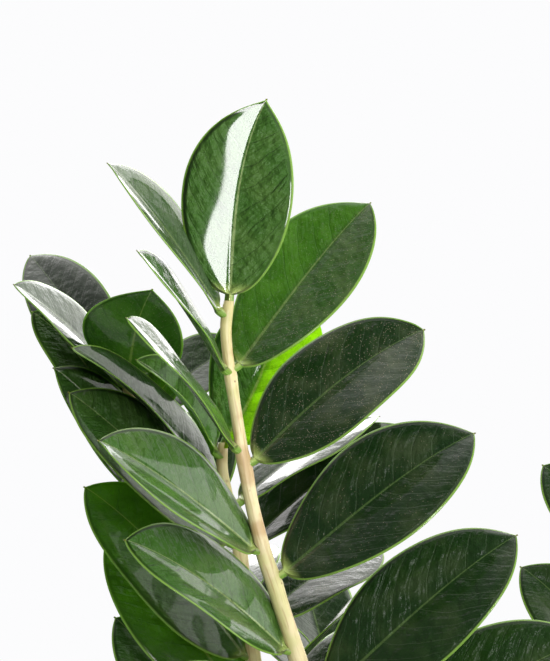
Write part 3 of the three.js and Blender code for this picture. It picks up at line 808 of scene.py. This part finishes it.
    # Relief: a young leaflet is more wrinkled, and the margin is smooth.
    quilt = add(tree, "Math", {0: from_vein, 1: fading}, 0, operation="MULTIPLY")
    relief = 0.0
    for pattern, above, below in (
            (waves, 0.85, 0.5), (grain, 1.0, 1.0), (creases, 0.7, 0.7), (crinkle, 0.7, 0.15),
            (pebble, 0.14, 0.14), (vein, -0.22, 0.14), (quilt, 0.65, -0.3)):
        relief = add(tree, "Math", {0: pattern, 1: above if upper else below, 2: relief}, 0,
                     operation="MULTIPLY_ADD")
    wrinkled = add(tree, "Math", {0: tone, 1: 3.4 if upper else 0.6, 2: 1.05}, 0,
                   operation="MULTIPLY_ADD")
    inside = add(tree, "MapRange", {0: edge, 1: 0.2, 2: 2.2, 3: 0.15}, 0, **SMOOTH)
    for amount in (wrinkled, inside):
        relief = add(tree, "Math", {0: relief, 1: amount}, 0, operation="MULTIPLY")
    bump = add(tree, "Bump", {"Strength": 1.0, "Distance": 0.0006, "Height": relief}, 0)

    # The skin: dust dulls it.
    low, high = (0.30, 0.50) if upper else (0.48, 0.66)
    rough = add(tree, "MapRange", {0: drift, 2: 0.7, 3: low, 4: high}, 0, **SMOOTH)
    rough = add(tree, "Math", {0: speck, 1: 0.25, 2: rough}, 0, operation="MULTIPLY_ADD")
    skin = add(tree, "BsdfPrincipled", {
        "Base Color": body, "Roughness": rough, "Normal": bump, "IOR": 1.45,
        "Specular IOR Level": 0.16 if upper else 0.4, "Coat Weight": 0.8 if upper else 0.08,
        "Coat Roughness": 0.07 if upper else 0.4, "Coat IOR": 1.5,
        "Sheen Weight": 0.06 if upper else 0.2, "Sheen Roughness": 0.4,
        "Sheen Tint": "#e2d3cc"}, 0)

    # Light that comes through: yellow-green, most of it in young leaflets and at the margin.
    through = add(tree, "Mix", {0: thin, 6: "#66ac2c", 7: "#b0da44"}, 2, **COLOURS)
    for where, strength, hue in ((vein, 0.4, "#5fa626"), (rib, 1.0, "#b9d24e")):
        amount = add(tree, "Math", {0: where, 1: strength}, 0, operation="MULTIPLY")
        through = add(tree, "Mix", {0: amount, 6: through, 7: hue}, 2, **COLOURS)
    glow = add(tree, "BsdfTranslucent", {"Color": through, "Normal": bump}, 0)
    uneven = add(tree, "MapRange", {0: patches, 1: 0.3, 2: 0.7, 3: 0.7}, 0, **SMOOTH)
    passing = add(tree, "Math", {0: thin, 1: uneven}, 0, operation="MULTIPLY")
    at_rim = add(tree, "Math", {0: rim, 1: 0.5}, 0, operation="MULTIPLY")
    passing = add(tree, "Math", {0: passing, 1: at_rim}, 0, operation="MAXIMUM")
    both = add(tree, "MixShader", {0: passing, 1: skin, 2: glow}, 0)
    add(tree, "OutputMaterial", {"Surface": both})
    return material


def stem_material():
    """Fleshy petiole: satin, cream to olive, with fine lengthwise lines and brown specks."""
    material, tree = new_material("fleshy_stem")
    place, look = (add(tree, "Attribute", None, "Vector", attribute_name=attribute)
                   for attribute in ("place", "look"))
    share = add(tree, "Attribute", None, "Fac", attribute_name="share")
    green, scar, foot = add(tree, "SeparateXYZ", {0: look}).outputs
    at = add(tree, "TexCoord", None, "Object")

    # Lines 1 mm wide that run along the stem, 14 mm mottling and a few flecks of about 1 mm
    drawn = add(tree, "VectorMath", {0: place, 1: (0.07, 1.0, 1.0)}, 0, operation="MULTIPLY")
    streaks = add(tree, "TexNoise", {"Scale": 1.1, "Detail": 2.0, "Vector": drawn}, "Fac")
    mottle = add(tree, "TexNoise", {"Scale": 70.0, "Detail": 3.0, "Vector": at}, "Fac")
    specks = add(tree, "TexVoronoi", {"Scale": 330.0, "Vector": at})
    pick = add(tree, "SeparateColor", {0: specks.outputs["Color"]}, 0)
    few = add(tree, "MapRange", {0: pick, 1: 0.9, 2: 0.93}, 0, **SMOOTH)
    dot = add(tree, "MapRange", {0: specks.outputs["Distance"], 1: 0.26, 2: 0.12}, 0, **SMOOTH)
    dot = add(tree, "Math", {0: dot, 1: few}, 0, operation="MULTIPLY")

    # Colour: cream above, green below and brown at the foot and at the leaflets' scars
    young = add(tree, "MapRange", {0: share, 1: 0.86, 4: 0.45}, 0, **SMOOTH)
    hue = add(tree, "Math", {0: green, 1: young}, 0, operation="MAXIMUM")
    body, tan, lime = (add(tree, "Mix", {0: hue, 6: cream, 7: olive}, 2, **COLOURS)
                       for cream, olive in (("#ddd0a2", "#bcb868"), ("#b18a5a", "#a89c5c"),
                                            ("#c3c47c", "#93a050")))
    pale = add(tree, "MapRange", {0: mottle, 1: 0.42, 2: 0.6}, 0, **SMOOTH)
    lower = add(tree, "Mix", {0: pale, 6: "#6c7c3e", 7: "#9a9a5c"}, 2, **COLOURS)
    for where, start, full, strength, over in (
            (mottle, 0.48, 0.66, 0.65, tan), (mottle, 0.46, 0.32, 0.55, lime),
            (streaks, 0.5, 0.66, 0.5, "#a8875a"), (share, 0.66, 0.25, 0.85, lower),
            (foot, 0.25, 1.0, 0.55, "#6a5a38")):
        amount = add(tree, "MapRange", {0: where, 1: start, 2: full, 4: strength}, 0, **SMOOTH)
        body = add(tree, "Mix", {0: amount, 6: body, 7: over}, 2, **COLOURS)
    for where, strength, over in ((scar, 0.45, "#8b7a48"), (dot, 1.0, "#6b4423")):
        amount = add(tree, "Math", {0: where, 1: strength}, 0, operation="MULTIPLY")
        body = add(tree, "Mix", {0: amount, 6: body, 7: over}, 2, **COLOURS)

    relief = add(tree, "Math", {0: mottle, 1: 0.5}, 0, operation="MULTIPLY")
    relief = add(tree, "Math", {0: streaks, 1: 0.5, 2: relief}, 0, operation="MULTIPLY_ADD")
    bump = add(tree, "Bump", {"Strength": 0.8, "Distance": 0.0003, "Height": relief}, 0)
    skin = add(tree, "BsdfPrincipled", {
        "Base Color": body, "Roughness": 0.42, "Normal": bump, "IOR": 1.45,
        "Coat Weight": 0.15, "Coat Roughness": 0.3}, 0)
    add(tree, "OutputMaterial", {"Surface": skin})
    return material


def glaze_material():
    """Glazed stoneware: a smooth pale satin coat, pooled a little darker in places.

    The grey is darker than the glaze looks, so that it still shows under the bright light.
    """
    material, tree = new_material("satin_glazed_ceramic")
    at = add(tree, "TexCoord", None, "Object")

    # Pools of 110 mm, iron flecks of 1 mm, and pits 4 mm apart, wider than real ones to show
    pools = add(tree, "TexNoise", {"Scale": 9.0, "Detail": 3.0, "Vector": at}, "Fac")
    pits = add(tree, "TexNoise", {"Scale": 240.0, "Detail": 1.0, "Vector": at}, "Fac")
    grit = add(tree, "TexVoronoi", {"Scale": 190.0, "Vector": at})
    pick = add(tree, "SeparateColor", {0: grit.outputs["Color"]}, 0)
    few = add(tree, "MapRange", {0: pick, 1: 0.93, 2: 0.95}, 0, **SMOOTH)
    fleck = add(tree, "MapRange", {0: grit.outputs["Distance"], 1: 0.14, 2: 0.06, 4: 0.5}, 0,
                **SMOOTH)
    fleck = add(tree, "Math", {0: fleck, 1: few}, 0, operation="MULTIPLY")
    pooled = add(tree, "MapRange", {0: pools, 1: 0.3, 2: 0.7}, 0, **SMOOTH)
    body = add(tree, "Mix", {0: pooled, 6: "#a39e94", 7: "#989184"}, 2, **COLOURS)
    body = add(tree, "Mix", {0: fleck, 6: body, 7: "#6d6252"}, 2, **COLOURS)
    rough = add(tree, "MapRange", {0: pools, 1: 0.3, 2: 0.7, 3: 0.34, 4: 0.44}, 0, **SMOOTH)
    relief = add(tree, "Math", {0: pits, 1: 0.12, 2: pools}, 0, operation="MULTIPLY_ADD")
    bump = add(tree, "Bump", {"Strength": 0.5, "Distance": 0.0008, "Height": relief}, 0)
    skin = add(tree, "BsdfPrincipled", {
        "Base Color": body, "Roughness": rough, "Normal": bump, "IOR": 1.5,
        "Coat Weight": 0.35, "Coat Roughness": 0.12}, 0)
    add(tree, "OutputMaterial", {"Surface": skin})
    return material


def soil_material(name, dark, light):
    """Damp peat, or perlite: matt crumbs with paler fibres and nothing that shines."""
    material, tree = new_material(name)
    at = add(tree, "TexCoord", None, "Object")

    # Clods of 6 mm and crumbs of 1 mm
    clods = add(tree, "TexNoise", {"Scale": 160.0, "Detail": 4.0, "Vector": at}, "Fac")
    crumbs = add(tree, "TexNoise", {"Scale": 900.0, "Detail": 2.0, "Vector": at}, "Fac")
    body = dark
    for where, start, full, strength, over in (
            (clods, 0.35, 0.68, 1.0, light), (crumbs, 0.55, 0.75, 0.5, "#7d6245")):
        amount = add(tree, "MapRange", {0: where, 1: start, 2: full, 4: strength}, 0, **SMOOTH)
        body = add(tree, "Mix", {0: amount, 6: body, 7: over}, 2, **COLOURS)
    relief = add(tree, "Math", {0: crumbs, 1: 0.4, 2: clods}, 0, operation="MULTIPLY_ADD")
    bump = add(tree, "Bump", {"Strength": 1.0, "Distance": 0.0014, "Height": relief}, 0)
    skin = add(tree, "BsdfPrincipled", {
        "Base Color": body, "Roughness": 0.95, "Normal": bump, "IOR": 1.4}, 0)
    add(tree, "OutputMaterial", {"Surface": skin})
    return material


# ------------------------------------------------------------------------------------------
# Pot and soil
# ------------------------------------------------------------------------------------------
def make_pot(material):
    """A straight-sided cone, hollowed from the mouth, with rounded rim and foot."""
    deselect()
    bpy.ops.mesh.primitive_cone_add(vertices=POT_SIDES, radius1=POT_FOOT_RADIUS * MM,
                                    radius2=POT_MOUTH_RADIUS * MM, depth=POT_HEIGHT * MM,
                                    location=(0, 0, POT_HEIGHT * MM / 2))
    pot = bpy.context.object
    pot.name = "cachepot"
    bpy.ops.object.transform_apply(location=True)
    bpy.ops.object.mode_set(mode="EDIT")
    select_faces(pot, lambda middle, normal: normal.z > 0.9)
    bpy.ops.mesh.inset(thickness=POT_WALL * MM)
    drop = (POT_FLOOR - POT_HEIGHT) * MM
    bpy.ops.mesh.extrude_region_move(TRANSFORM_OT_translate={"value": (0, 0, drop)})
    narrow = (POT_FOOT_RADIUS + 1.0 - POT_WALL) / (POT_MOUTH_RADIUS - POT_WALL)
    bpy.ops.transform.resize(value=(narrow, narrow, 1),
                             center_override=(0, 0, POT_FLOOR * MM))
    bpy.ops.object.mode_set(mode="OBJECT")
    apply_modifier(pot, "BEVEL", width=POT_RIM_BEVEL * MM, segments=5, limit_method="ANGLE",
                   angle_limit=math.radians(40))
    only(pot)
    bpy.ops.object.shade_smooth_by_angle(angle=math.radians(35))
    pot.data.materials.append(material)
    return pot


def make_soil(peat, perlite):
    """A crowned disc that is broken up, and loose crumbs of peat and perlite on it."""
    radius = POT_FOOT_RADIUS + (POT_MOUTH_RADIUS - POT_FOOT_RADIUS) * SOIL_LEVEL / POT_HEIGHT
    radius = radius - POT_WALL - 0.4
    deselect()
    bpy.ops.mesh.primitive_circle_add(vertices=96, radius=radius, fill_type="NGON")
    soil = bpy.context.object
    soil.name = "potting_soil"
    bpy.ops.object.mode_set(mode="EDIT")
    for _ in range(SOIL_RINGS):
        select_faces(soil, lambda middle, normal: middle.length < 1.0)
        bpy.ops.mesh.inset(thickness=radius / (SOIL_RINGS + 1))
    select_faces(soil, lambda middle, normal: middle.length < 1.0)
    bpy.ops.mesh.poke()
    bpy.ops.mesh.select_all(action="SELECT")
    bpy.ops.mesh.extrude_region_move(TRANSFORM_OT_translate={"value": (0, 0, -SOIL_DEPTH)})
    bpy.ops.mesh.select_all(action="SELECT")
    bpy.ops.mesh.normals_make_consistent(inside=False)
    bpy.ops.object.mode_set(mode="OBJECT")
    places = read_places(soil)
    top = places[:, 2] > -1
    run = np.hypot(places[:, 0], places[:, 1]) / radius
    lumps = (np.sin(places[:, 0] * 0.31 + 1.3) * np.sin(places[:, 1] * 0.27 + 0.4) * 0.8
             + np.sin(places[:, 0] * 0.83) * np.sin(places[:, 1] * 0.71 + 2.0) * 0.5
             + chance.uniform(-0.55, 0.55, len(places)))
    rise = SOIL_CROWN * (1 - run ** 2) + lumps * (1 - run ** 6) - 0.6
    places[:, 2] = np.where(top, SOIL_LEVEL + rise, SOIL_LEVEL - SOIL_DEPTH)
    soil.data.vertices.foreach_set("co", (places * MM).astype(np.float32).ravel())
    soil.data.update()
    soil.data.materials.append(peat)
    only(soil)
    bpy.ops.object.shade_smooth()
    return joined("potting_soil", [soil] + scatter_crumbs(radius, peat, perlite))


def scatter_crumbs(radius, peat, perlite):
    """Loose crumbs on the soil: one dented ball that is copied, squashed and turned."""
    crumbs = []
    deselect()
    bpy.ops.mesh.primitive_ico_sphere_add(subdivisions=2, radius=1.0)
    crumb_master = bpy.context.object
    bpy.ops.object.shade_smooth()
    ball = read_places(crumb_master)
    for index in range(CRUMBS):
        turn = chance.uniform(0, 2 * math.pi)
        run = radius * 0.955 * math.sqrt(chance.uniform(0.0, 1.0))
        size = 0.7 + 2.6 * chance.uniform(0, 1) ** 3
        pale = chance.uniform(0, 1) < 0.05
        flat = chance.uniform(0.4, 0.9) if not pale else 0.85
        stretch = np.array([1.0, chance.uniform(0.5, 1.0), flat]) * size
        dents = 1 + chance.uniform(-0.22, 0.16, len(ball))
        lump = ball * dents[:, None] * stretch
        spin = chance.uniform(0, 2 * math.pi)
        lean = chance.uniform(-0.5, 0.5)
        x = lump[:, 0] * math.cos(lean) - lump[:, 2] * math.sin(lean)
        z = lump[:, 0] * math.sin(lean) + lump[:, 2] * math.cos(lean)
        lump = np.stack([x * math.cos(spin) - lump[:, 1] * math.sin(spin),
                         x * math.sin(spin) + lump[:, 1] * math.cos(spin), z], axis=1)
        level = SOIL_LEVEL + SOIL_CROWN * (1 - (run / radius) ** 2) - 0.4
        lump += np.array([run * math.cos(turn), run * math.sin(turn), level])
        crumbs.append(copy_with_places(crumb_master, f"crumb_{index}", lump, {},
                                       [perlite if pale else peat]))
    bpy.data.objects.remove(crumb_master)
    return crumbs


def joined(name, parts):
    """Makes one piece of several."""
    deselect()
    for part in parts:
        part.select_set(True)
    bpy.context.view_layer.objects.active = parts[0]
    bpy.ops.object.join()
    parts[0].name = name
    return parts[0]


def settle(piece, slot, *nodes):
    """Puts a piece on the plant's one body and hides the nodes that it replaces. The slot is not
    used.
    """
    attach(piece, "root")
    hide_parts(*nodes)


# ------------------------------------------------------------------------------------------
# The whole plant
# ------------------------------------------------------------------------------------------
set_camera()
light_the_studio()
lay_the_floor()

leaf_skins = [leaf_material("waxed_leaf_upper", True), leaf_material("matt_leaf_underside", False)]
stem_skin = stem_material()
fine_leaflet = model_leaflet_master("leaflet_master_fine", *FINE_GRID)
plain_leaflet = model_leaflet_master("leaflet_master_plain", *PLAIN_GRID)
stem_master = model_stem_master()

for letter, frond in DRAWN_FRONDS.items():
    course = Course(frond["stem"])
    seats = []
    for place, leaf in frond["leaflets"].items():
        seat, outward, share = seat_on_stem(course, leaf)
        look = LOOKS.get(f"{letter}_{place}", COMMON_LOOK)
        blade = leaflet(fine_leaflet, f"leaflet_{letter}_{place}", seat, outward, leaf, FRONT,
                        look, leaf_skins)
        settle(blade, "leaf", f"frond_{letter}_leaflet_{place}")
        if place != "tip":
            seats.append((share, outward))
    bar = stem(stem_master, f"stem_{letter}", course, seats, STEM_GREENNESS[letter], stem_skin)
    settle(bar, "stem", f"frond_{letter}_stem")

for letter, frond in PATTERN_FRONDS.items():
    course = Course(frond["stem"])
    seats = []
    blades = []
    for leaf in leaflets_by_rule(frond, course):
        seat, outward, share = seat_on_stem(course, leaf)
        tone, thin, dust = FROND_LOOKS[letter]
        vary = chance.uniform(-0.05, 0.06)
        blades.append(leaflet(fine_leaflet if letter == "d" else plain_leaflet,
                              f"blade_{letter}_{len(blades)}", seat, outward, leaf,
                              np.array(frond["faces"], float), (tone + vary, thin, dust, 0),
                              leaf_skins))
        if "at" in leaf:
            seats.append((share, outward))
    settle(joined(f"leaflets_{letter}", blades), "leaf", f"frond_{letter}")
    bar = stem(stem_master, f"stem_{letter}", course, seats, STEM_GREENNESS[letter], stem_skin)
    settle(bar, "stem", f"frond_{letter}")

for master in (fine_leaflet, plain_leaflet, stem_master):
    bpy.data.objects.remove(master)

settle(make_pot(glaze_material()), "pot", "pot")
peat = soil_material("damp_peat", "#1f150f", "#4a3526")
perlite = soil_material("perlite", "#cfcabd", "#efece4")
settle(make_soil(peat, perlite), "soil", "soil")
